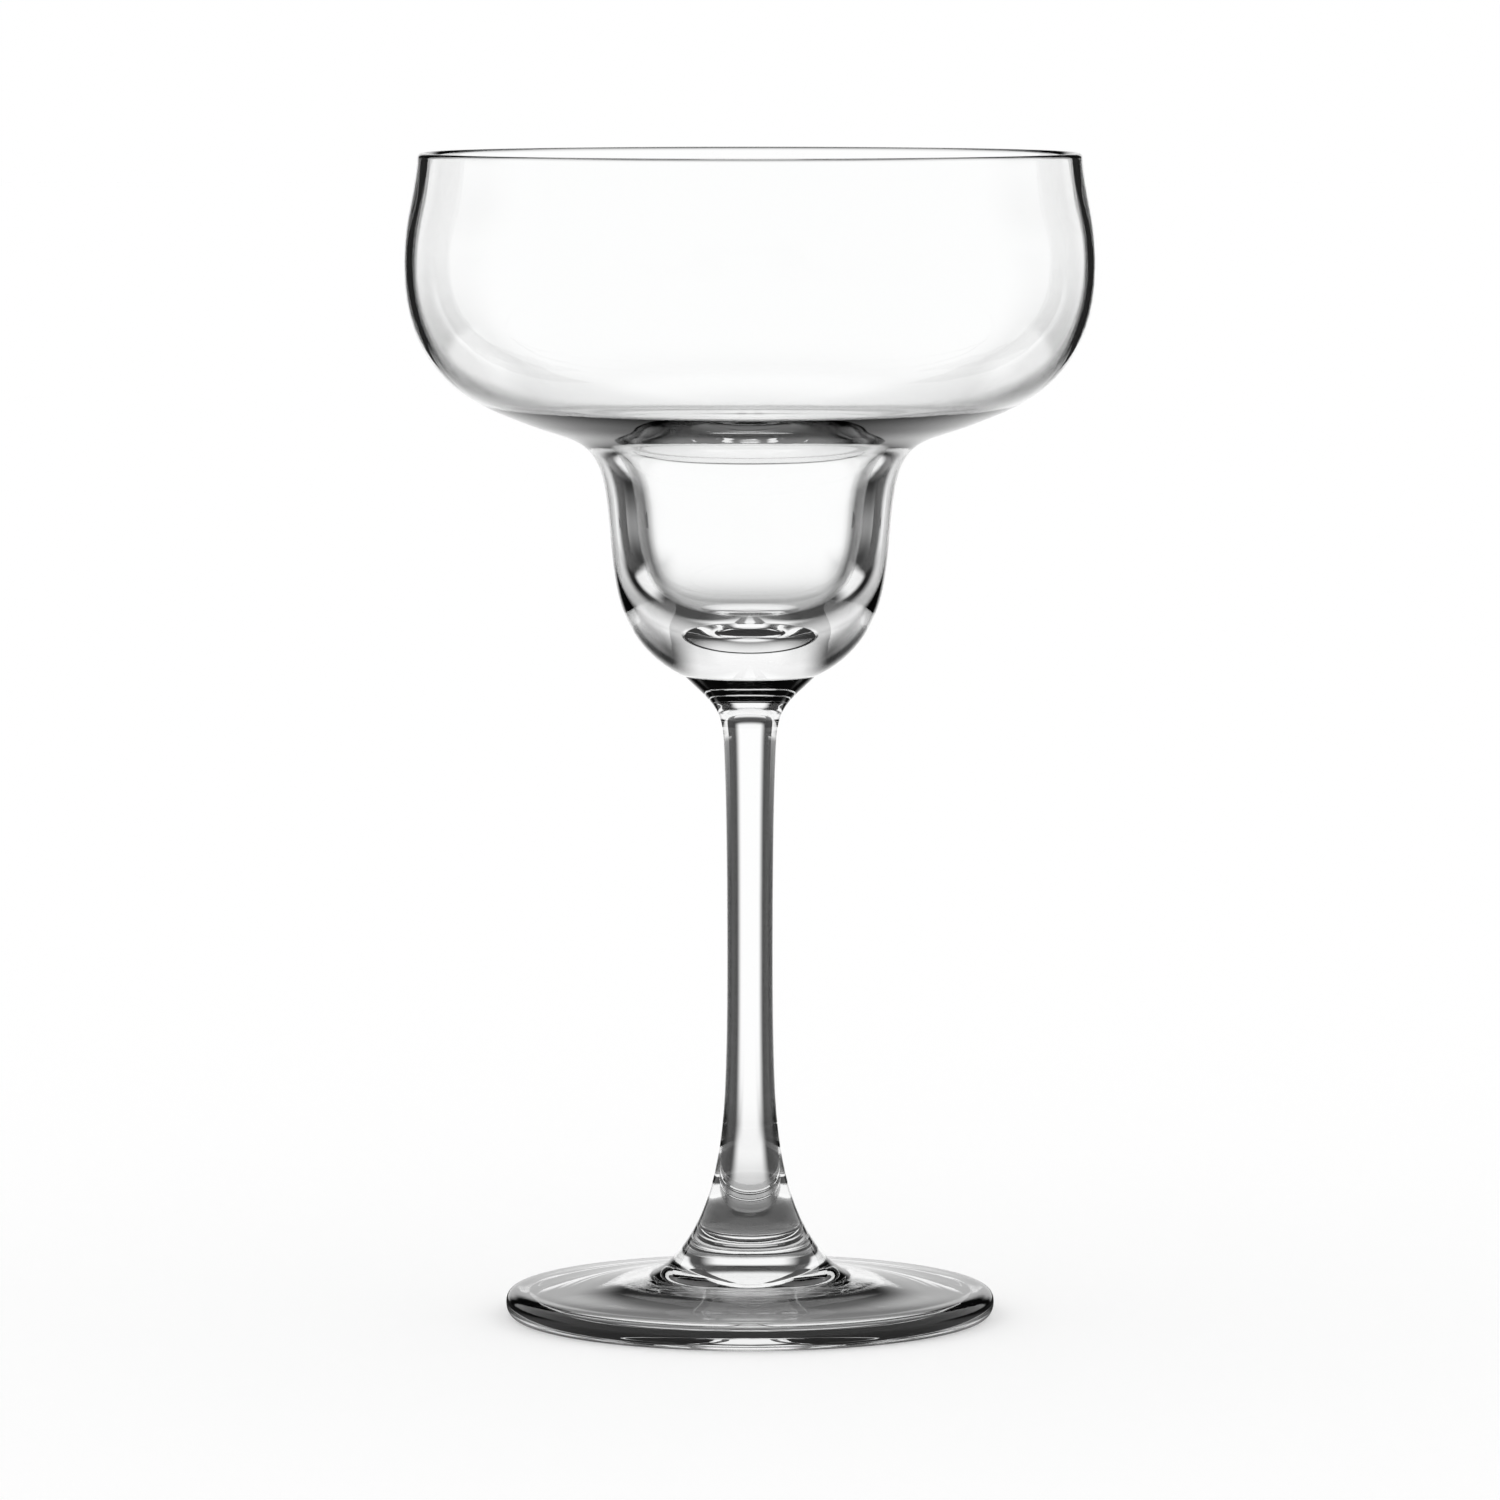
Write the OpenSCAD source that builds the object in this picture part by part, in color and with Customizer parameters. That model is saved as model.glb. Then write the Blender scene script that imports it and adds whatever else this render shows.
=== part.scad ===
// Margarita glass: a wide bowl that steps down into a narrow well, on a slender stem and a round foot.
// Three gathers of clear glass, fused at two flat welds: the bowl, the stem and the foot.
// The axis of the glass is Z, and z = 0 is the table that it stands on.

/* [Foot] */
// Diameter over the edge of the foot
foot_d = 75.6; // [74:0.2:78]
// Height of the foot's widest line above the table
edge_h = 2.3; // [1.8:0.1:2.8]
// Diameter at which the top face starts to round down to the edge
crown_d = 68.2; // [60:0.2:70]
// Height of the top face there
crown_h = 4.4; // [3.8:0.1:5]
// Diameter at which the fillet of the boss runs out into the top face
apron_d = 34.2; // [30:0.2:38]
// Height of the top face there
apron_h = 6.4; // [6:0.1:7]
// Diameter of the boss at the weld to the stem
boss_d = 21.2; // [18:0.2:25]
// Height of that weld above the table
boss_h = 10.6; // [9.5:0.1:12]
// Outer diameter of the ring that the glass rests on
rest_d = 71.8; // [69:0.2:74]
// Width of that ring
rest_w = 2; // [1:0.1:4]
// Rise of the hollow under the middle of the foot
hollow_h = 5.6; // [4.6:0.1:6]
// Diameter of the shallow dome in the middle of the hollow
dome_d = 38; // [32:0.2:44]
// Height of the hollow at the edge of that dome
dome_h = 3.7; // [3:0.1:4.2]

/* [Stem] */
// Length of the stem between its two welds
stem_l = 88.9; // [70:0.1:110]
// Diameter of the stem at its ankle, where the flare to the foot starts
ankle_d = 7.6; // [7:0.1:10]
// Height of the ankle above the lower weld
ankle_rise = 26.5; // [20:0.1:32]
// Diameter of the stem at its thinnest
waist_d = 7.1; // [5:0.1:9]
// Height of the thinnest place above the lower weld
waist_rise = 45.4; // [38:0.1:50]
// Diameter of the neck under the head
neck_d = 8.1; // [7:0.1:11]
// Drop from the upper weld to the neck
neck_drop = 10.2; // [8:0.1:14]
// Diameter of the head at the weld to the bowl
head_d = 20.2; // [16:0.2:24]

/* [Well] */
// Outside diameter where the rounded base of the well ends
base_d = 41.4; // [38:0.2:44]
// Height of that place above the weld to the stem
base_rise = 14.7; // [12:0.1:18]
// Outside diameter under the shoulder
well_d = 44.4; // [42:0.2:50]
// Height of that place above the weld
well_rise = 28.3; // [24:0.1:32]
// Inside diameter of the well at its mouth
mouth_d = 36.4; // [32:0.2:38]
// Height of the mouth above the weld
mouth_rise = 29.7; // [28:0.1:33]
// Inside diameter where the wall of the well starts to round into its floor
sump_d = 32.6; // [28:0.2:34]
// Height of that place above the weld
sump_rise = 16.5; // [13:0.1:19]
// Thickness of the solid base under the floor of the well
base_wall = 7.1; // [5:0.1:9]

/* [Bowl] */
// Diameter on which the bowl's floor turns into the shoulder, outside
floor_d = 70.2; // [64:0.2:78]
// Height of that circle above the weld
floor_rise = 39.2; // [36:0.1:44]
// Thickness of the bowl's floor
floor_wall = 1.6; // [1.4:0.1:2.6]
// Widest outside diameter of the bowl
belly_d = 106.2; // [96:0.2:116]
// Height of the widest line above the weld
belly_rise = 63.1; // [56:0.1:70]
// Wall thickness at the widest line
belly_wall = 1.2; // [1:0.1:2.5]
// Outside diameter of the lip
lip_d = 102; // [92:0.2:112]
// Height of the lip above the weld
lip_rise = 80.5; // [74:0.1:90]
// Thickness of the rounded lip
lip_t = 1.5; // [1.2:0.1:2.5]

/* [Hidden] */
// Slopes of the outline in degrees: falls go down and climbs go up from the horizontal, leans are from the vertical
boss_fall = 52;
apron_fall = 11.5;
crown_fall = 6;
dome_fall = 8;
hollow_climb = 14;
ankle_lean = 2;
neck_lean = 2.5;
head_climb = 46;
base_climb = 25;
well_lean = 9;
mouth_lean = 12;
sump_lean = 13;
floor_climb = 22;
inner_climb = 5;
lip_lean = 5;

// Directions that a stretch of the outline can take, in degrees from the radius
outward = 0;
upward = 90;
inward = 180;
downward = 270;

// Straight steps that make up a curved stretch
steps = 20;

// Heights of the two welds
lower_weld = boss_h;
upper_weld = boss_h + stem_l;

// Corners of the outline, each as a radius and a height
rest_inner = [rest_d / 2 - rest_w, 0];
rest_outer = [rest_d / 2, 0];
edge = [foot_d / 2, edge_h];
crown = [crown_d / 2, crown_h];
apron = [apron_d / 2, apron_h];
boss = [boss_d / 2, lower_weld];
ankle = [ankle_d / 2, lower_weld + ankle_rise];
waist = [waist_d / 2, lower_weld + waist_rise];
neck = [neck_d / 2, upper_weld - neck_drop];
head = [head_d / 2, upper_weld];
base = [base_d / 2, upper_weld + base_rise];
well = [well_d / 2, upper_weld + well_rise];
floor_under = [floor_d / 2, upper_weld + floor_rise];
belly_outer = [belly_d / 2, upper_weld + belly_rise];
lip_centre = [lip_d / 2 - lip_t / 2, upper_weld + lip_rise - lip_t / 2];
lip_outer = lip_centre + [lip_t / 2, 0];
lip_inner = lip_centre - [lip_t / 2, 0];
belly_inner = belly_outer - [belly_wall, 0];
floor_over = onward(floor_under, floor_climb + upward, floor_wall);
mouth = [mouth_d / 2, upper_weld + mouth_rise];
sump = [sump_d / 2, upper_weld + sump_rise];
sump_floor = [0, upper_weld + base_wall];
hollow_top = [0, hollow_h];
dome = [dome_d / 2, dome_h];

// The point that lies some way from another in a given direction
function onward(point, direction, length) = point + length * [cos(direction), sin(direction)];

// A curved stretch from one corner to the next, without its first point. It leaves and arrives in the given
// directions, and each grip says for what share of the distance it keeps to its direction.
function sweep(from, leaving, to, arriving, grips) =
    let (
        distance = norm(to - from),
        first = onward(from, leaving, grips[0] * distance),
        second = onward(to, arriving + 180, grips[1] * distance)
    )
    [
        for (i = [1 : steps])
            let (t = i / steps, s = 1 - t)
                s^3 * from + 3 * s^2 * t * first + 3 * s * t^2 * second + t^3 * to
    ];

// Half a circle from its outward side over the top to its inward side, without its first point
function half_round(centre, radius) = [
    for (i = [1 : steps]) onward(centre, 180 * i / steps, radius)
];

// Grips of the stretches, from the table up, then down the inside, and under the foot at the end
edge_under_grips = [0.28, 0.56];
edge_over_grips = [0.52, 0.35];
crown_grips = [0.27, 0.54];
apron_grips = [0.17, 0.67];
flare_grips = [0.33, 0.29];
ankle_grips = [0.32, 0.42];
waist_grips = [0.41, 0.26];
head_grips = [0.5, 0.41];
base_grips = [0.35, 0.41];
well_grips = [0.36, 0.26];
shoulder_grips = [0.54, 0.48];
cup_grips = [0.2, 0.6];
lip_grips = [0.45, 0.42];
inner_lip_grips = [0.42, 0.45];
inner_cup_grips = [0.54, 0.24];
throat_grips = [0.39, 0.58];
sump_grips = [0.39, 0.43];
sump_floor_grips = [0.4, 0.45];
dome_grips = [0.49, 0.16];
hollow_grips = [0.32, 0.6];

// The blown bowl and well, one wall from the weld over the rounded lip and down the inside
module bowl()
{
    color("aliceblue", 0.35)
    rotate_extrude($fn = 180)
    polygon(concat(
        [[0, upper_weld], head],
        sweep(head, base_climb, base, upward - well_lean, base_grips),
        sweep(base, upward - well_lean, well, upward - well_lean, well_grips),
        sweep(well, upward - well_lean, floor_under, floor_climb, shoulder_grips),
        sweep(floor_under, floor_climb, belly_outer, upward, cup_grips),
        sweep(belly_outer, upward, lip_outer, upward + lip_lean, lip_grips),
        half_round(lip_centre, lip_t / 2),
        sweep(lip_inner, downward + lip_lean, belly_inner, downward, inner_lip_grips),
        sweep(belly_inner, downward, floor_over, inward + inner_climb, inner_cup_grips),
        sweep(floor_over, inward + inner_climb, mouth, downward - mouth_lean, throat_grips),
        sweep(mouth, downward - mouth_lean, sump, downward - sump_lean, sump_grips),
        sweep(sump, downward - sump_lean, sump_floor, inward, sump_floor_grips)
    ));
}

// The drawn stem, with a conical head under the bowl and a long flare to the foot
module stem()
{
    color("aliceblue", 0.35)
    rotate_extrude($fn = 180)
    polygon(concat(
        [[0, lower_weld], boss],
        sweep(boss, inward - boss_fall, ankle, upward + ankle_lean, flare_grips),
        sweep(ankle, upward + ankle_lean, waist, upward, ankle_grips),
        sweep(waist, upward, neck, upward - neck_lean, waist_grips),
        sweep(neck, upward - neck_lean, head, head_climb, head_grips),
        [[0, upper_weld]]
    ));
}

// The pressed foot, with a boss for the stem, a rounded edge and a shallow hollow inside its resting ring
module foot()
{
    color("aliceblue", 0.35)
    rotate_extrude($fn = 180)
    polygon(concat(
        [rest_inner, rest_outer],
        sweep(rest_outer, outward, edge, upward, edge_under_grips),
        sweep(edge, upward, crown, inward - crown_fall, edge_over_grips),
        sweep(crown, inward - crown_fall, apron, inward - apron_fall, crown_grips),
        sweep(apron, inward - apron_fall, boss, inward - boss_fall, apron_grips),
        [[0, lower_weld], hollow_top],
        sweep(hollow_top, outward, dome, outward - dome_fall, dome_grips),
        sweep(dome, outward - dome_fall, rest_inner, outward - hollow_climb, hollow_grips)
    ));
}

bowl();
stem();
foot();
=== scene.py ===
import math

import bpy
from bpy.props import FloatProperty, FloatVectorProperty, IntProperty, PointerProperty
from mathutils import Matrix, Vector


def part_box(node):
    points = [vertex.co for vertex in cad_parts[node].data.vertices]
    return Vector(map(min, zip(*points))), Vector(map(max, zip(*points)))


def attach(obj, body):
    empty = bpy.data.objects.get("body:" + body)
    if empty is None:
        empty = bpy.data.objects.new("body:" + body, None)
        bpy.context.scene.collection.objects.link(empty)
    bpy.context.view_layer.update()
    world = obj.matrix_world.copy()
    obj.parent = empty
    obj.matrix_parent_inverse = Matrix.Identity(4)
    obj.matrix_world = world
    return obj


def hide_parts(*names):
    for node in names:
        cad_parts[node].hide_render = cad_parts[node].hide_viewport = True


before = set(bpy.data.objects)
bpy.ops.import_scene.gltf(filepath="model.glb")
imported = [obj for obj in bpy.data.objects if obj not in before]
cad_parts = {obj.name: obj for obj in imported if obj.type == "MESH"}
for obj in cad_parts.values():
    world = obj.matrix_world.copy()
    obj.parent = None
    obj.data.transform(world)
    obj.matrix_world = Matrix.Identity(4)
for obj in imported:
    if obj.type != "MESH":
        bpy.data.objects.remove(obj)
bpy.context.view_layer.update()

bl_info = {
    "name": "Margarita Glass",
    "version": (1, 0, 0),
    "blender": (4, 5, 0),
    "location": "View3D > Sidebar > Glass",
    "description": "Models a clear margarita glass from its three gathers and sets up a white studio for it",
    "category": "Object",
}

# What the CAD model says: the heights of the two welds and of the lip
UPPER_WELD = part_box("bowl")[0].z
LOWER_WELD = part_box("foot")[1].z
LIP_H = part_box("bowl")[1].z

# Directions that a stretch of an outline can take, measured from the radius
OUTWARD = 0.0
UPWARD = math.pi / 2
INWARD = math.pi
DOWNWARD = 3 * math.pi / 2

# Share of its radius at which the handles of a quarter circle lie
QUARTER_GRIP = 4 / 3 * (math.sqrt(2) - 1)

# Steps round the axis, the distance under which points are one, and the angle over which an edge stays sharp
TURNS = 256
SAME_POINT = 1e-6
SHARP_EDGE = math.radians(40)


def length(name, description, default):
    """A length property in metres"""
    return FloatProperty(name=name, description=description, default=default, min=0, precision=4,
                         unit="LENGTH")


def slope(name, description, degrees):
    """An angle property, written in degrees"""
    return FloatProperty(name=name, description=description, default=math.radians(degrees), subtype="ANGLE")


def grips(name, leaving, arriving):
    """How far a curved stretch keeps to the direction it leaves and arrives in, as shares of its chord"""
    return FloatVectorProperty(name=name, default=(leaving, arriving), size=2, min=0, max=1,
                               description="Shares of the chord for which the stretch keeps its direction")


def number(name, description, default):
    """A plain number that isn't below zero"""
    return FloatProperty(name=name, description=description, default=default, min=0)


def outline_steps(default):
    """How finely a piece's outline is drawn"""
    return IntProperty(name="Steps", description="Straight steps in each curved stretch", default=default,
                       min=1)


def per_metre(name, description, default):
    """How many streaks a metre of glass has in each direction"""
    return FloatVectorProperty(name=name, description=description, default=default, min=0)


def place_aside(name, description, default):
    """A place beside the glass, as its distances aside and behind"""
    return FloatVectorProperty(name=name, description=description, default=default, size=2, unit="LENGTH")


def colour(name, description, default):
    """A colour property with its opacity"""
    return FloatVectorProperty(name=name, description=description, default=default, size=4, min=0, max=1,
                               subtype="COLOR")


class FootSizes(bpy.types.PropertyGroup):
    """Sizes of the pressed foot"""
    foot_d: length("Foot", "Diameter over the edge of the foot", 0.0756)
    edge_h: length("Edge height", "Height of the widest line above the table", 0.0023)
    crown_d: length("Crown", "Diameter at which the top face starts to round down to the edge", 0.0682)
    crown_h: length("Crown height", "Height of the top face there", 0.0044)
    apron_d: length("Apron", "Diameter at which the fillet of the boss runs out into the top face", 0.0342)
    apron_h: length("Apron height", "Height of the top face there", 0.0064)
    boss_d: length("Boss", "Diameter of the boss at the weld to the stem", 0.0212)
    rest_d: length("Resting ring", "Outer diameter of the ring that the glass rests on", 0.0718)
    rest_w: length("Ring width", "Width of the resting ring", 0.002)
    hollow_h: length("Hollow", "Rise of the hollow under the middle of the foot", 0.0056)
    dome_d: length("Dome", "Diameter of the flat dome in the middle of the hollow", 0.038)
    dome_h: length("Dome height", "Height of the hollow at the edge of that dome", 0.0037)
    boss_fall: slope("Boss fall", "Slope of the side of the boss at the weld", 52)
    apron_fall: slope("Apron fall", "Slope of the top face where the fillet runs out", 11.5)
    crown_fall: slope("Crown fall", "Slope of the top face where it starts to round down", 6)
    hollow_climb: slope("Hollow climb", "Slope of the hollow at the resting ring", 14)
    dome_fall: slope("Dome fall", "Slope of the hollow at the edge of its dome", 8)
    dome_grips: grips("Dome grips", 0.49, 0.16)
    hollow_grips: grips("Hollow grips", 0.32, 0.6)
    rest_grips: grips("Ring grips", 0.33, 0.33)
    edge_under_grips: grips("Grips under the edge", 0.28, 0.56)
    edge_over_grips: grips("Grips over the edge", 0.52, 0.35)
    crown_grips: grips("Crown grips", 0.27, 0.54)
    apron_grips: grips("Apron grips", 0.17, 0.67)
    steps: outline_steps(24)


class StemSizes(bpy.types.PropertyGroup):
    """Sizes of the drawn stem"""
    ankle_d: length("Ankle", "Diameter where the flare to the foot starts", 0.0076)
    ankle_rise: length("Ankle rise", "Height of the ankle above the lower weld", 0.0265)
    waist_d: length("Waist", "Diameter of the stem at its thinnest", 0.0071)
    waist_rise: length("Waist rise", "Height of the thinnest place above the lower weld", 0.0454)
    neck_d: length("Neck", "Diameter of the neck under the head", 0.0081)
    neck_drop: length("Neck drop", "Drop from the upper weld to the neck", 0.0102)
    head_d: length("Head", "Diameter of the head at the weld to the bowl", 0.0202)
    ankle_lean: slope("Ankle lean", "Lean of the side at the ankle", 2)
    neck_lean: slope("Neck lean", "Lean of the side at the neck", 2.5)
    head_climb: slope("Head climb", "Slope of the head at the weld", 46)
    flare_grips: grips("Flare grips", 0.33, 0.29)
    ankle_grips: grips("Ankle grips", 0.32, 0.42)
    waist_grips: grips("Waist grips", 0.41, 0.26)
    head_grips: grips("Head grips", 0.5, 0.41)
    steps: outline_steps(32)


class BowlSizes(bpy.types.PropertyGroup):
    """Sizes of the blown bowl and well, with heights above the weld to the stem"""
    base_d: length("Base", "Outside diameter where the rounded base of the well ends", 0.0414)
    base_rise: length("Base rise", "Height of that place", 0.0147)
    well_d: length("Well", "Outside diameter under the shoulder", 0.0444)
    well_rise: length("Well rise", "Height of that place", 0.0283)
    mouth_d: length("Mouth", "Inside diameter of the well at its mouth", 0.0364)
    mouth_rise: length("Mouth rise", "Height of the mouth", 0.0297)
    sump_d: length("Sump", "Inside diameter where the wall of the well rounds into its floor", 0.0326)
    sump_rise: length("Sump rise", "Height of that place", 0.0165)
    base_wall: length("Base thickness", "Thickness of the solid base under the floor of the well", 0.0071)
    floor_d: length("Floor", "Outside diameter on which the bowl's floor turns into the shoulder", 0.0702)
    floor_rise: length("Floor rise", "Height of that circle", 0.0392)
    floor_wall: length("Floor thickness", "Thickness of the bowl's floor", 0.0016)
    belly_d: length("Belly", "Widest outside diameter of the bowl", 0.1062)
    belly_rise: length("Belly rise", "Height of the widest line", 0.0631)
    belly_wall: length("Belly thickness", "Wall thickness at the widest line", 0.0012)
    lip_d: length("Lip", "Outside diameter of the lip", 0.102)
    lip_t: length("Lip thickness", "Thickness of the rounded lip", 0.0015)
    base_climb: slope("Base climb", "Slope of the rounded base at the weld", 25)
    well_lean: slope("Well lean", "Lean of the outside of the well", 9)
    floor_climb: slope("Floor climb", "Slope of the bowl's floor outside", 22)
    inner_climb: slope("Inner climb", "Slope of the bowl's floor inside", 5)
    mouth_lean: slope("Mouth lean", "Lean of the well's inside at its mouth", 12)
    sump_lean: slope("Sump lean", "Lean of the well's inside where it rounds into its floor", 13)
    lip_lean: slope("Lip lean", "Lean of the wall inwards at the lip", 5)
    base_grips: grips("Base grips", 0.35, 0.41)
    well_grips: grips("Well grips", 0.36, 0.26)
    shoulder_grips: grips("Shoulder grips", 0.54, 0.48)
    cup_grips: grips("Cup grips", 0.2, 0.6)
    lip_grips: grips("Lip grips", 0.45, 0.42)
    inner_lip_grips: grips("Inner lip grips", 0.42, 0.45)
    inner_cup_grips: grips("Inner cup grips", 0.54, 0.24)
    throat_grips: grips("Throat grips", 0.39, 0.58)
    sump_grips: grips("Sump grips", 0.39, 0.43)
    sump_floor_grips: grips("Sump floor grips", 0.4, 0.45)
    steps: outline_steps(20)


class GlassLooks(bpy.types.PropertyGroup):
    """Colours and finish of the glass"""
    clear: colour("Clear glass", "Colour of the glass where it is clearest", (0.999, 1.0, 0.9995, 1))
    cord: colour("Cords", "Colour of the faint denser streaks in the glass", (0.99, 0.994, 0.993, 1))
    bowl_cords: per_metre("Bowl cords", "Streaks per metre across and along the blown bowl", (45, 45, 18))
    stem_cords: per_metre("Stem cords", "Streaks per metre across and along the drawn stem", (160, 160, 14))
    foot_cords: per_metre("Foot cords", "Streaks per metre across and up the pressed foot", (60, 60, 60))
    cord_detail: number("Cord detail", "How many finer runs of streaks lie in the coarse ones", 3)
    cord_waver: number("Cord waver", "How much the streaks waver", 0.6)
    dull_from: number("Dull from", "Depth of a streak at which the polish starts to dull", 0.45)
    dull_to: number("Dull to", "Depth of a streak at which the polish is dullest", 0.8)
    dullness: number("Dullness", "Roughness of the dullest streaks", 0.03)
    bending: number("Bending", "Refractive index of soda-lime glass", 1.5)
    ripple: length("Ripple", "Height of the faint ripple that hot working leaves", 0.00003)


class StageSizes(bpy.types.PropertyGroup):
    """The camera, the floor, the cards beside the glass and the shade under its foot"""
    aim_h: length("Aim height", "Height on the axis that the camera looks at", 0.088)
    camera_distance: length("Camera distance", "Distance from the camera to its aim", 1.338)
    camera_elevation: slope("Camera elevation", "How far the camera looks down", 5)
    pixels_per_metre: number("Photo scale", "Pixels per metre at the aim", 6480)
    image_side: number("Image side", "Side of the square image in pixels", 1500)
    sensor_mm: number("Sensor", "Width of the camera's sensor in millimetres", 36)
    floor_side: length("Floor side", "Side of the square floor", 16)
    floor_colour: colour("Floor", "Colour of the pale floor", (0.85, 0.85, 0.85, 1))
    floor_glow: number("Floor glow", "What brings the floor up to white", 0.15)
    flag_near: length("Flag near side", "Distance from the middle to the near side of a flag", 0.1)
    flag_far: length("Flag far side", "Distance from the middle to the far side of a flag", 0.19)
    flag_back: length("Flag distance", "Distance of the flags behind the glass", 0.22)
    flag_bottom: length("Flag bottom", "Height of the bottom of the flags", 0.1)
    flag_top: length("Flag top", "Height of the top of the flags", 0.45)
    flag_colour: colour("Flags", "Colour of the black flags", (0.02, 0.02, 0.02, 1))
    wing_back: place_aside("Wing back", "Place of a wing card's back edge", (0.19, 0.22))
    wing_front: place_aside("Wing front", "Place of a wing card's front edge", (0.28, -0.11))
    wing_top: length("Wing height", "Height of the top of the wing cards", 0.36)
    wing_clear: length("Wing clear height", "Height at which the wing cards fade out", 0.038)
    wing_white: length("Wing white height", "Height from which the wing cards are full", 0.186)
    shade_d: length("Shade", "Diameter of the shaded table under and round the foot", 0.25)
    shade_end_d: length("Shade end", "Diameter at which the shade ends behind and in front", 0.16)
    shade_gap: length("Shade gap", "Gap between the foot and the shaded table", 0.0003)
    shade_core: number("Core level", "Level in the middle of the shade", 0.03)
    shade_lit: number("Lit level", "Level where the shade ends", 0.95)
    shade_back_turn: slope("Back window", "Half the turn of the light window behind", 24)
    shade_front_turn: slope("Front window", "Turn from which the table in front gets light", 80)
    shade_front_full: slope("Front light", "Turn from which the table in front is fully lit", 120)
    shade_sides: IntProperty(name="Shade sides", description="Sides of the round shade", default=96, min=3)


class StudioPanel:
    """A soft light panel that the glass sees. Each fade runs from the angle where the panel is dark to the
    angle where it is full. Turns are measured round from straight behind the glass and tilts up from the
    horizon, in degrees."""

    def __init__(self, level, turn_fades=(), tilt_fades=()):
        self.level = level
        self.turn_fades = turn_fades
        self.tilt_fades = tilt_fades


# A bright field: a lit backdrop and table behind the glass with a dark surround, in a white room
BACKDROP = StudioPanel(1.0, turn_fades=((25, 13.5),), tilt_fades=((-22, -7), (17, 10)))
BACK_TABLE = StudioPanel(1.0, turn_fades=((25, 8),), tilt_fades=((-57, -7), (4, -6)))
CEILING = StudioPanel(0.9, tilt_fades=((24, 34),))
FRONT = StudioPanel(0.95, turn_fades=((62, 88),), tilt_fades=((-90, -38),))
FRONT_TABLE = StudioPanel(0.6, turn_fades=((62, 88),))
SIDE_WALLS = StudioPanel(0.96, turn_fades=((30, 35),), tilt_fades=((-1, 5),))
SIDE_TABLE = StudioPanel(0.95, turn_fades=((28, 38), (76, 58)), tilt_fades=((-45, -33), (-18, -22)))
PANELS = (BACKDROP, BACK_TABLE, CEILING, FRONT, FRONT_TABLE, SIDE_WALLS, SIDE_TABLE)
# What the glass sees between the panels
STUDIO_DARK = 0.01


def onward(point, direction, distance):
    """The point that lies some way from another in a direction"""
    return (point[0] + distance * math.cos(direction), point[1] + distance * math.sin(direction))


def sweep(start, leaving, end, arriving, grip):
    """The two end corners and two handles of a curved stretch, as in a pen tool"""
    chord = math.dist(start, end)
    first = onward(start, leaving, grip[0] * chord)
    second = onward(end, arriving + math.pi, grip[1] * chord)
    return start, first, second, end


def half_round(centre, radius):
    """Two quarter circles from the outward side over the top to the inward side"""
    out = onward(centre, OUTWARD, radius)
    top = onward(centre, UPWARD, radius)
    back = onward(centre, INWARD, radius)
    pull = QUARTER_GRIP * radius
    return [
        (out, onward(out, UPWARD, pull), onward(top, OUTWARD, pull), top),
        (top, onward(top, INWARD, pull), onward(back, UPWARD, pull), back),
    ]


def bowl_outline(s):
    """From the weld up the outside, over the lip and down the inside to the floor of the well"""
    head = (bpy.context.scene.stem_sizes.head_d / 2, UPPER_WELD)
    base = (s.base_d / 2, UPPER_WELD + s.base_rise)
    well = (s.well_d / 2, UPPER_WELD + s.well_rise)
    floor_under = (s.floor_d / 2, UPPER_WELD + s.floor_rise)
    belly_outer = (s.belly_d / 2, UPPER_WELD + s.belly_rise)
    lip_centre = (s.lip_d / 2 - s.lip_t / 2, LIP_H - s.lip_t / 2)
    lip_outer = onward(lip_centre, OUTWARD, s.lip_t / 2)
    lip_inner = onward(lip_centre, INWARD, s.lip_t / 2)
    belly_inner = onward(belly_outer, INWARD, s.belly_wall)
    floor_over = onward(floor_under, UPWARD + s.floor_climb, s.floor_wall)
    mouth = (s.mouth_d / 2, UPPER_WELD + s.mouth_rise)
    sump = (s.sump_d / 2, UPPER_WELD + s.sump_rise)
    sump_floor = (0, UPPER_WELD + s.base_wall)
    leaning = UPWARD - s.well_lean
    return [
        sweep(head, s.base_climb, base, leaning, s.base_grips),
        sweep(base, leaning, well, leaning, s.well_grips),
        sweep(well, leaning, floor_under, s.floor_climb, s.shoulder_grips),
        sweep(floor_under, s.floor_climb, belly_outer, UPWARD, s.cup_grips),
        sweep(belly_outer, UPWARD, lip_outer, UPWARD + s.lip_lean, s.lip_grips),
        *half_round(lip_centre, s.lip_t / 2),
        sweep(lip_inner, DOWNWARD + s.lip_lean, belly_inner, DOWNWARD, s.inner_lip_grips),
        sweep(belly_inner, DOWNWARD, floor_over, INWARD + s.inner_climb, s.inner_cup_grips),
        sweep(floor_over, INWARD + s.inner_climb, mouth, DOWNWARD - s.mouth_lean, s.throat_grips),
        sweep(mouth, DOWNWARD - s.mouth_lean, sump, DOWNWARD - s.sump_lean, s.sump_grips),
        sweep(sump, DOWNWARD - s.sump_lean, sump_floor, INWARD, s.sump_floor_grips),
    ]


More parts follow.
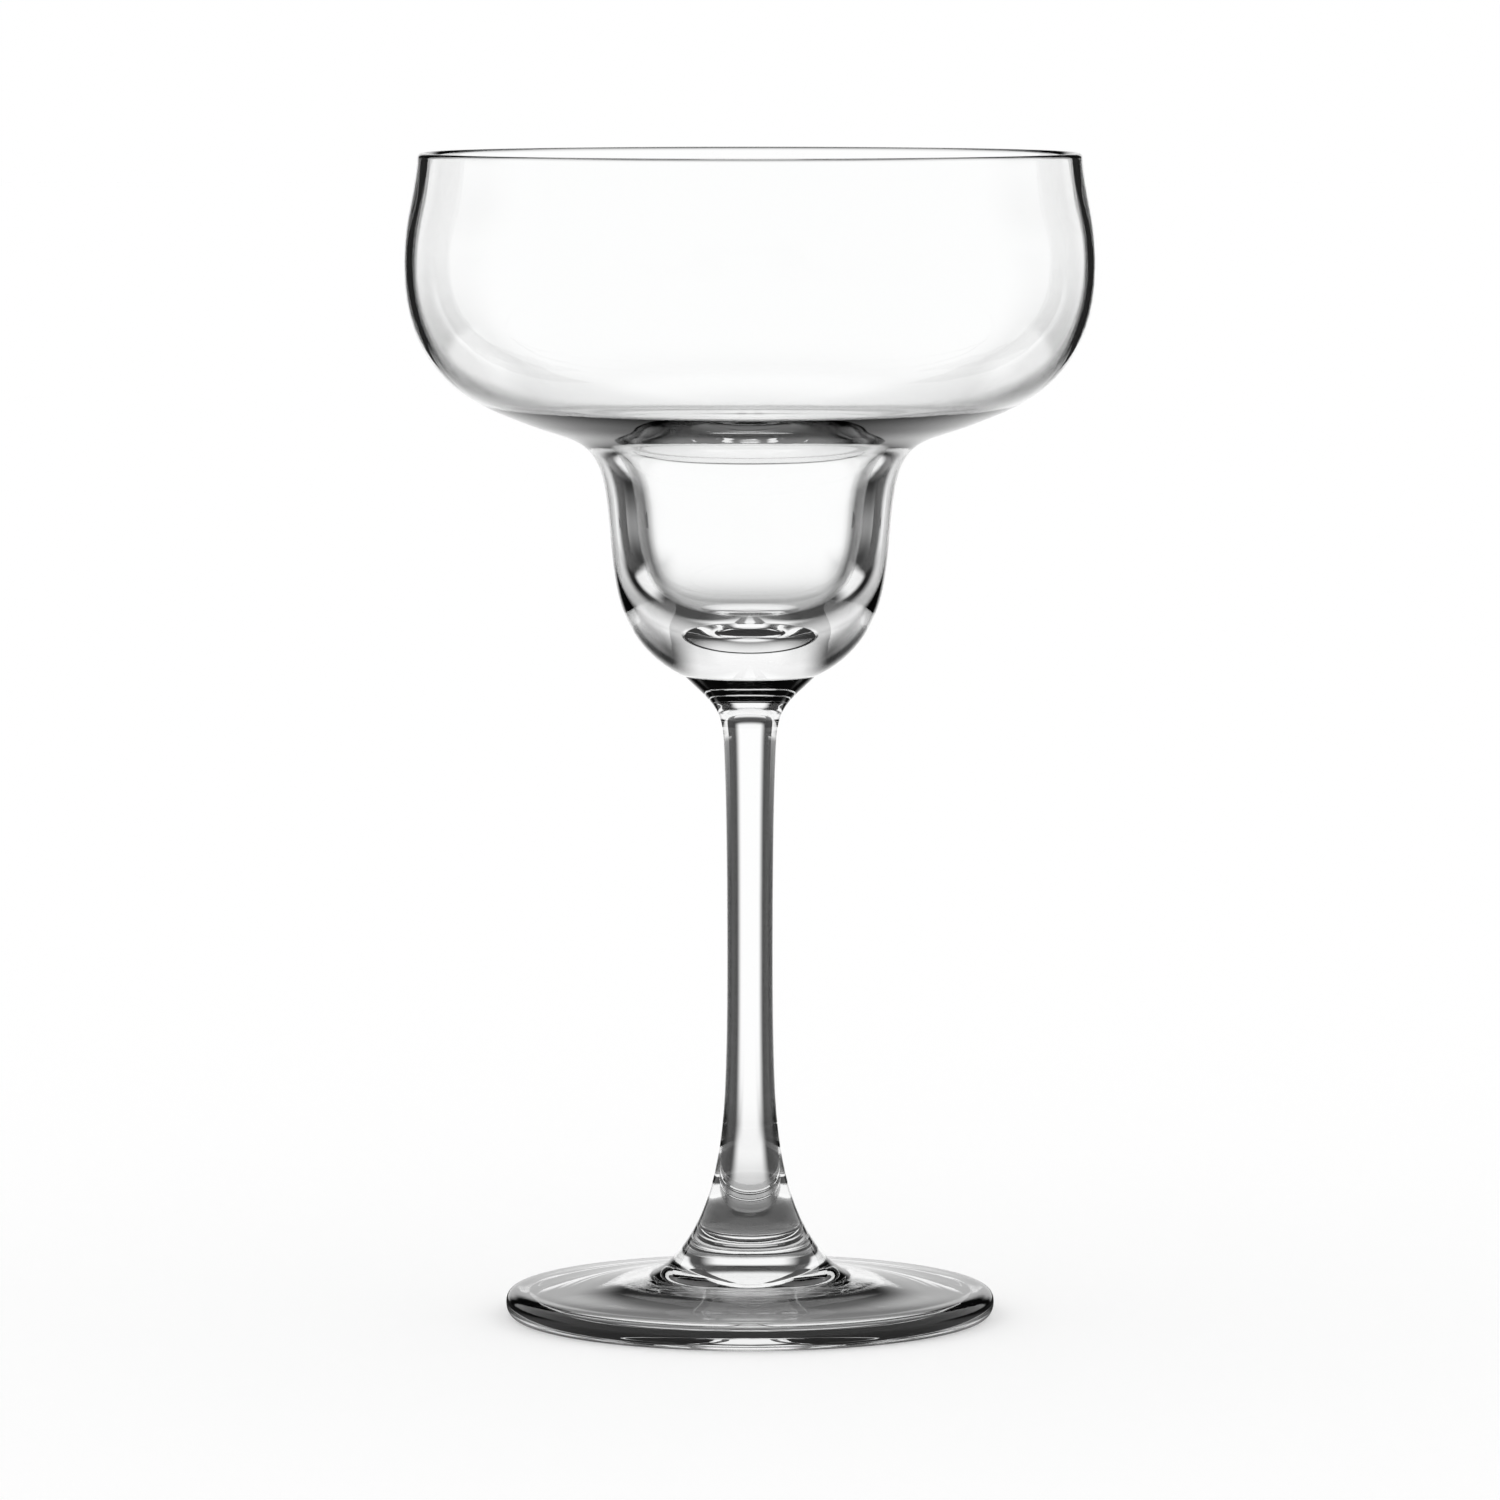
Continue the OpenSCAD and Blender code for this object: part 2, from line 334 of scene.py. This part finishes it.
def stem_outline(s):
    """From the foot's weld up the flare and the waist to the bowl's weld"""
    foot = bpy.context.scene.foot_sizes
    boss = (foot.boss_d / 2, LOWER_WELD)
    ankle = (s.ankle_d / 2, LOWER_WELD + s.ankle_rise)
    waist = (s.waist_d / 2, LOWER_WELD + s.waist_rise)
    neck = (s.neck_d / 2, UPPER_WELD - s.neck_drop)
    head = (s.head_d / 2, UPPER_WELD)
    return [
        sweep(boss, INWARD - foot.boss_fall, ankle, UPWARD + s.ankle_lean, s.flare_grips),
        sweep(ankle, UPWARD + s.ankle_lean, waist, UPWARD, s.ankle_grips),
        sweep(waist, UPWARD, neck, UPWARD - s.neck_lean, s.waist_grips),
        sweep(neck, UPWARD - s.neck_lean, head, s.head_climb, s.head_grips),
    ]


def foot_outline(s):
    """From the top of the hollow over the resting ring and the edge to the stem's weld"""
    hollow_top = (0, s.hollow_h)
    dome = (s.dome_d / 2, s.dome_h)
    rest_inner = (s.rest_d / 2 - s.rest_w, 0)
    rest_outer = (s.rest_d / 2, 0)
    edge = (s.foot_d / 2, s.edge_h)
    crown = (s.crown_d / 2, s.crown_h)
    apron = (s.apron_d / 2, s.apron_h)
    boss = (s.boss_d / 2, LOWER_WELD)
    return [
        sweep(hollow_top, OUTWARD, dome, OUTWARD - s.dome_fall, s.dome_grips),
        sweep(dome, OUTWARD - s.dome_fall, rest_inner, OUTWARD - s.hollow_climb, s.hollow_grips),
        sweep(rest_inner, OUTWARD, rest_outer, OUTWARD, s.rest_grips),
        sweep(rest_outer, OUTWARD, edge, UPWARD, s.edge_under_grips),
        sweep(edge, UPWARD, crown, INWARD - s.crown_fall, s.edge_over_grips),
        sweep(crown, INWARD - s.crown_fall, apron, INWARD - s.apron_fall, s.crown_grips),
        sweep(apron, INWARD - s.apron_fall, boss, INWARD - s.boss_fall, s.apron_grips),
    ]


def deselect_all():
    """Leaves nothing selected, so that the next operator acts on the new piece alone"""
    if bpy.context.object and bpy.context.object.mode != "OBJECT":
        bpy.ops.object.mode_set(mode="OBJECT")
    bpy.ops.object.select_all(action="DESELECT")


def spun_piece(name, stretches, steps):
    """Draws the outline as a curve in the XZ plane, makes it a mesh and spins it round the axis"""
    deselect_all()
    bpy.ops.curve.primitive_bezier_curve_add(location=(0, 0, 0))
    outline = bpy.context.object
    outline.name = name
    outline.data.name = name
    outline.data.dimensions = "3D"
    outline.data.resolution_u = steps
    knots = outline.data.splines[0].bezier_points
    knots.add(len(stretches) + 1 - len(knots))
    for knot in knots:
        knot.handle_left_type = "FREE"
        knot.handle_right_type = "FREE"
    for index, (start, first, second, end) in enumerate(stretches):
        knots[index].co = (start[0], 0, start[1])
        knots[index].handle_right = (first[0], 0, first[1])
        knots[index + 1].handle_left = (second[0], 0, second[1])
        knots[index + 1].co = (end[0], 0, end[1])
    knots[0].handle_left = knots[0].co
    knots[-1].handle_right = knots[-1].co
    bpy.ops.object.convert(target="MESH")
    bpy.ops.object.mode_set(mode="EDIT")
    bpy.ops.mesh.select_all(action="SELECT")
    bpy.ops.mesh.spin(steps=TURNS, angle=math.tau, center=(0, 0, 0), axis=(0, 0, 1))
    bpy.ops.mesh.select_all(action="SELECT")
    bpy.ops.mesh.remove_doubles(threshold=SAME_POINT)
    return bpy.context.object


def close_welds(piece, materials):
    """Closes the open loops at the welds with flat faces of the second material, and turns faces outwards"""
    for material in materials:
        piece.data.materials.append(material)
    bpy.ops.mesh.select_all(action="DESELECT")
    bpy.ops.mesh.select_non_manifold(extend=False, use_wire=False, use_multi_face=False,
                                     use_non_contiguous=False, use_verts=False)
    bpy.ops.mesh.edge_face_add()
    piece.active_material_index = 1
    bpy.ops.object.material_slot_assign()
    bpy.ops.mesh.select_all(action="SELECT")
    bpy.ops.mesh.normals_make_consistent(inside=False)
    bpy.ops.object.mode_set(mode="OBJECT")
    bpy.ops.object.shade_smooth_by_angle(angle=SHARP_EDGE)


def stand_for(piece, node):
    """Puts the piece in the place of its CAD node"""
    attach(piece, "root")
    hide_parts(node)


def math_node(tree, operation, *values):
    """A Math node fed by numbers or by other nodes' outputs"""
    node = tree.nodes.new("ShaderNodeMath")
    node.operation = operation
    for socket, value in zip(node.inputs, values):
        if isinstance(value, (int, float)):
            socket.default_value = value
        else:
            tree.links.new(value, socket)
    return node.outputs[0]


def hot_worked_glass():
    """The faint streaks, polish and ripple that working hot glass leaves, for all three gathers"""
    group = bpy.data.node_groups.get("hot_worked_glass")
    if group:
        return group
    looks = bpy.context.scene.glass_looks
    group = bpy.data.node_groups.new("hot_worked_glass", "ShaderNodeTree")
    for name, kind in (("Cords", "Vector"), ("Clear", "Color"), ("Cord", "Color")):
        group.interface.new_socket(name, in_out="INPUT", socket_type="NodeSocket" + kind)
    for name, kind in (("Tint", "Color"), ("Polish", "Float"), ("Ripple", "Float")):
        group.interface.new_socket(name, in_out="OUTPUT", socket_type="NodeSocket" + kind)
    given = group.nodes.new("NodeGroupInput").outputs
    result = group.nodes.new("NodeGroupOutput").inputs
    place = group.nodes.new("ShaderNodeTexCoord").outputs["Object"]
    stretched = group.nodes.new("ShaderNodeVectorMath")
    stretched.operation = "MULTIPLY"
    group.links.new(place, stretched.inputs[0])
    group.links.new(given["Cords"], stretched.inputs[1])
    streaks = group.nodes.new("ShaderNodeTexNoise")
    streaks.inputs["Scale"].default_value = 1.0
    streaks.inputs["Detail"].default_value = looks.cord_detail
    streaks.inputs["Distortion"].default_value = looks.cord_waver
    group.links.new(stretched.outputs["Vector"], streaks.inputs["Vector"])
    depth = streaks.outputs["Fac"]
    tint = group.nodes.new("ShaderNodeMix")
    tint.data_type = "RGBA"
    group.links.new(depth, tint.inputs["Factor"])
    group.links.new(given["Clear"], tint.inputs["A"])
    group.links.new(given["Cord"], tint.inputs["B"])
    group.links.new(tint.outputs["Result"], result["Tint"])
    polish = group.nodes.new("ShaderNodeMapRange")
    polish.inputs["From Min"].default_value = looks.dull_from
    polish.inputs["From Max"].default_value = looks.dull_to
    polish.inputs["To Max"].default_value = looks.dullness
    group.links.new(depth, polish.inputs["Value"])
    group.links.new(polish.outputs["Result"], result["Polish"])
    group.links.new(depth, result["Ripple"])
    return group


def clear_glass(name, cords):
    """Clear soda-lime glass with its own run of streaks"""
    looks = bpy.context.scene.glass_looks
    material = bpy.data.materials.new(name)
    material.use_nodes = True
    tree = material.node_tree
    shader = tree.nodes["Principled BSDF"]
    shader.inputs["IOR"].default_value = looks.bending
    shader.inputs["Transmission Weight"].default_value = 1.0
    worked = tree.nodes.new("ShaderNodeGroup")
    worked.node_tree = hot_worked_glass()
    worked.inputs["Cords"].default_value = cords
    worked.inputs["Clear"].default_value = looks.clear
    worked.inputs["Cord"].default_value = looks.cord
    bump = tree.nodes.new("ShaderNodeBump")
    bump.inputs["Distance"].default_value = looks.ripple
    tree.links.new(worked.outputs["Ripple"], bump.inputs["Height"])
    tree.links.new(worked.outputs["Tint"], shader.inputs["Base Color"])
    tree.links.new(worked.outputs["Polish"], shader.inputs["Roughness"])
    tree.links.new(bump.outputs["Normal"], shader.inputs["Normal"])
    return material


def fused_weld():
    """The inside of a weld, where the glass runs on unbroken and nothing shows"""
    material = bpy.data.materials.get("fused_weld")
    if material:
        return material
    material = bpy.data.materials.new("fused_weld")
    material.use_nodes = True
    material.node_tree.nodes["Principled BSDF"].inputs["Alpha"].default_value = 0.0
    return material


class GLASS_OT_bowl(bpy.types.Operator):
    """Models the blown bowl and well"""
    bl_idname = "glass.bowl"
    bl_label = "Bowl"

    def execute(self, context):
        sizes = context.scene.bowl_sizes
        piece = spun_piece("bowl_glass", bowl_outline(sizes), sizes.steps)
        close_welds(piece, (clear_glass("blown_glass", context.scene.glass_looks.bowl_cords), fused_weld()))
        stand_for(piece, "bowl")
        return {"FINISHED"}


class GLASS_OT_stem(bpy.types.Operator):
    """Models the drawn stem"""
    bl_idname = "glass.stem"
    bl_label = "Stem"

    def execute(self, context):
        sizes = context.scene.stem_sizes
        piece = spun_piece("stem_glass", stem_outline(sizes), sizes.steps)
        close_welds(piece, (clear_glass("drawn_glass", context.scene.glass_looks.stem_cords), fused_weld()))
        stand_for(piece, "stem")
        return {"FINISHED"}


class GLASS_OT_foot(bpy.types.Operator):
    """Models the pressed foot"""
    bl_idname = "glass.foot"
    bl_label = "Foot"

    def execute(self, context):
        sizes = context.scene.foot_sizes
        piece = spun_piece("foot_glass", foot_outline(sizes), sizes.steps)
        close_welds(piece, (clear_glass("pressed_glass", context.scene.glass_looks.foot_cords), fused_weld()))
        stand_for(piece, "foot")
        return {"FINISHED"}


def fade(tree, value, dark_at, full_at):
    """A soft step from 0 to 1 between two values"""
    step = tree.nodes.new("ShaderNodeMapRange")
    step.interpolation_type = "SMOOTHSTEP"
    step.inputs["From Min"].default_value = dark_at
    step.inputs["From Max"].default_value = full_at
    tree.links.new(value, step.inputs["Value"])
    return step.outputs["Result"]


def studio_world():
    """White for the camera and the floor, and the panels in a dark surround for the glass"""
    world = bpy.data.worlds.new("studio")
    bpy.context.scene.world = world
    world.use_nodes = True
    tree = world.node_tree
    background = tree.nodes["Background"]
    background.inputs["Color"].default_value = (1, 1, 1, 1)
    parts = tree.nodes.new("ShaderNodeSeparateXYZ")
    tree.links.new(tree.nodes.new("ShaderNodeTexCoord").outputs["Generated"], parts.inputs[0])
    aside = math_node(tree, "ABSOLUTE", parts.outputs["X"])
    turn = math_node(tree, "DEGREES", math_node(tree, "ARCTAN2", aside, parts.outputs["Y"]))
    tilt = math_node(tree, "DEGREES", math_node(tree, "ARCSINE", parts.outputs["Z"]))
    seen = STUDIO_DARK
    for panel in PANELS:
        lit = panel.level
        for angle, fades in ((turn, panel.turn_fades), (tilt, panel.tilt_fades)):
            for dark_at, full_at in fades:
                lit = math_node(tree, "MULTIPLY", fade(tree, angle, dark_at, full_at), lit)
        seen = math_node(tree, "MAXIMUM", lit, seen)
    path = tree.nodes.new("ShaderNodeLightPath")
    in_glass = math_node(tree, "MAXIMUM", path.outputs["Is Glossy Ray"], path.outputs["Is Transmission Ray"])
    strength = tree.nodes.new("ShaderNodeMix")
    strength.data_type = "FLOAT"
    strength.inputs["A"].default_value = 1.0
    tree.links.new(in_glass, strength.inputs["Factor"])
    tree.links.new(seen, strength.inputs["B"])
    tree.links.new(strength.outputs["Result"], background.inputs["Strength"])


def matt(name, base_colour, glow=0.0):
    """A matt finish for the stage"""
    material = bpy.data.materials.new(name)
    material.use_nodes = True
    shader = material.node_tree.nodes["Principled BSDF"]
    shader.inputs["Base Color"].default_value = base_colour
    shader.inputs["Roughness"].default_value = 1.0
    shader.inputs["Specular IOR Level"].default_value = 0.0
    shader.inputs["Emission Color"].default_value = (1, 1, 1, 1)
    shader.inputs["Emission Strength"].default_value = glow
    return material


def pale_floor(s):
    """The floor, which the camera sees and the glass doesn't, because the world's panels stand in for it"""
    deselect_all()
    bpy.ops.mesh.primitive_plane_add(size=s.floor_side, location=(0, 0, 0))
    floor = bpy.context.object
    floor.name = "floor"
    floor.visible_transmission = False
    floor.visible_glossy = False
    floor.data.materials.append(matt("pale_floor", s.floor_colour, s.floor_glow))


def seen_in_glass_only(card):
    """Hides a card of the stage from the camera and the floor"""
    card.visible_camera = False
    card.visible_diffuse = False
    card.visible_shadow = False


def black_flags(s):
    """Two black cards beside the backdrop, which only the glass sees, for the dark lines along its edges"""
    black = matt("black_card", s.flag_colour)
    for side, name in ((-1, "flag_left"), (1, "flag_right")):
        deselect_all()
        bpy.ops.mesh.primitive_plane_add(size=1, location=(0, 0, 0), rotation=(math.pi / 2, 0, 0))
        flag = bpy.context.object
        flag.name = name
        flag.scale = (s.flag_far - s.flag_near, s.flag_top - s.flag_bottom, 1)
        flag.location = (side * (s.flag_near + s.flag_far) / 2, s.flag_back, (s.flag_bottom + s.flag_top) / 2)
        bpy.ops.object.transform_apply(location=True, rotation=True, scale=True)
        flag.data.materials.append(black)
        seen_in_glass_only(flag)


def glowing(name):
    """A material that only glows, and the tree and shader to set its strength with"""
    material = bpy.data.materials.new(name)
    material.use_nodes = True
    tree = material.node_tree
    shader = tree.nodes["Principled BSDF"]
    shader.inputs["Base Color"].default_value = (0, 0, 0, 1)
    shader.inputs["Specular IOR Level"].default_value = 0.0
    shader.inputs["Emission Color"].default_value = (1, 1, 1, 1)
    return material, tree, shader


def wing_cards(s):
    """Two white cards beside the bowl that fade out downwards and to the front, which only the glass sees"""
    material, tree, shader = glowing("wing_card")
    place = tree.nodes.new("ShaderNodeSeparateXYZ")
    tree.links.new(tree.nodes.new("ShaderNodeTexCoord").outputs["Object"], place.inputs[0])
    back, front = Vector(s.wing_back), Vector(s.wing_front)
    upper = fade(tree, place.outputs["Z"], s.wing_clear, s.wing_white)
    rear = fade(tree, place.outputs["Y"], front.y, -front.y)
    tree.links.new(math_node(tree, "MULTIPLY", upper, rear), shader.inputs["Alpha"])
    shader.inputs["Emission Strength"].default_value = 1.0
    for side, name in ((-1, "wing_left"), (1, "wing_right")):
        along = Vector((side * (front.x - back.x), front.y - back.y))
        deselect_all()
        middle = (side * (back.x + front.x) / 2, (back.y + front.y) / 2, s.wing_top / 2)
        bpy.ops.mesh.primitive_plane_add(size=1, location=middle,
                                         rotation=(math.pi / 2, 0, math.atan2(along.y, along.x)))
        wing = bpy.context.object
        wing.name = name
        wing.scale = (along.length, s.wing_top, 1)
        bpy.ops.object.transform_apply(location=True, rotation=True, scale=True)
        wing.data.materials.append(material)
        seen_in_glass_only(wing)


def shaded_table(s):
    """The table as the glass shows it, lit behind and in front, and in shade elsewhere"""
    deselect_all()
    bpy.ops.mesh.primitive_circle_add(vertices=s.shade_sides, radius=s.shade_d / 2, fill_type="NGON",
                                      location=(0, 0, -s.shade_gap))
    bpy.ops.object.transform_apply(location=True, rotation=True, scale=True)
    table = bpy.context.object
    table.name = "shaded_table"
    material, tree, shader = glowing("shaded_table")
    place = tree.nodes.new("ShaderNodeTexCoord").outputs["Object"]
    parts = tree.nodes.new("ShaderNodeSeparateXYZ")
    tree.links.new(place, parts.inputs[0])
    reach = tree.nodes.new("ShaderNodeVectorMath")
    reach.operation = "LENGTH"
    tree.links.new(place, reach.inputs[0])
    aside = math_node(tree, "ABSOLUTE", parts.outputs["X"])
    turn = math_node(tree, "ARCTAN2", aside, parts.outputs["Y"])
    behind = fade(tree, turn, s.shade_back_turn, s.shade_back_turn / 2)
    front = fade(tree, turn, s.shade_front_turn, s.shade_front_full)
    open_way = math_node(tree, "MAXIMUM", behind, front)
    lit = math_node(tree, "MULTIPLY", fade(tree, reach.outputs["Value"], 0, s.shade_end_d / 2), open_way)
    glow = math_node(tree, "MULTIPLY_ADD", lit, s.shade_lit - s.shade_core, s.shade_core)
    tree.links.new(glow, shader.inputs["Emission Strength"])
    soft_edge = fade(tree, reach.outputs["Value"], s.shade_d / 2, s.shade_end_d / 2)
    tree.links.new(soft_edge, shader.inputs["Alpha"])
    table.data.materials.append(material)
    seen_in_glass_only(table)


class GLASS_OT_stage(bpy.types.Operator):
    """Sets up the camera, the floor, the cards, the shaded table and the studio"""
    bl_idname = "glass.stage"
    bl_label = "Stage"

    def execute(self, context):
        s = context.scene.stage_sizes
        back = Vector((0, -math.cos(s.camera_elevation), math.sin(s.camera_elevation)))
        deselect_all()
        bpy.ops.object.camera_add(location=Vector((0, 0, s.aim_h)) + back * s.camera_distance)
        camera = context.object
        camera.rotation_euler = (-back).to_track_quat("-Z", "Y").to_euler()
        camera.data.sensor_width = s.sensor_mm
        camera.data.lens = s.sensor_mm * s.pixels_per_metre * s.camera_distance / s.image_side
        context.scene.camera = camera
        pale_floor(s)
        black_flags(s)
        wing_cards(s)
        shaded_table(s)
        studio_world()
        context.scene.view_settings.view_transform = "Standard"
        return {"FINISHED"}


# The groups of values on the scene, each with the operator that reads it
GROUPS = (
    ("bowl_sizes", BowlSizes, "glass.bowl"),
    ("stem_sizes", StemSizes, "glass.stem"),
    ("foot_sizes", FootSizes, "glass.foot"),
    ("glass_looks", GlassLooks, None),
    ("stage_sizes", StageSizes, "glass.stage"),
)


class GLASS_PT_sidebar(bpy.types.Panel):
    """Lists the pieces of the glass with their sizes and looks"""
    bl_idname = "GLASS_PT_sidebar"
    bl_label = "Margarita Glass"
    bl_space_type = "VIEW_3D"
    bl_region_type = "UI"
    bl_category = "Glass"

    def draw(self, context):
        for name, group, operator in GROUPS:
            box = self.layout.box()
            if operator:
                box.operator(operator)
            for field in group.__annotations__:
                box.prop(getattr(context.scene, name), field)


OPERATORS = (GLASS_OT_bowl, GLASS_OT_stem, GLASS_OT_foot, GLASS_OT_stage)


def register():
    """Adds the groups of values, the operators and the panel"""
    for name, group, _ in GROUPS:
        bpy.utils.register_class(group)
        setattr(bpy.types.Scene, name, PointerProperty(type=group))
    for cls in (*OPERATORS, GLASS_PT_sidebar):
        bpy.utils.register_class(cls)


def unregister():
    """Takes them away again, last first"""
    for cls in (GLASS_PT_sidebar, *reversed(OPERATORS)):
        bpy.utils.unregister_class(cls)
    for name, group, _ in reversed(GROUPS):
        delattr(bpy.types.Scene, name)
        bpy.utils.unregister_class(group)


def main():
    """Models the three gathers and sets up the stage"""
    register()
    bpy.ops.glass.bowl()
    bpy.ops.glass.stem()
    bpy.ops.glass.foot()
    bpy.ops.glass.stage()


if __name__ == "__main__":
    main()
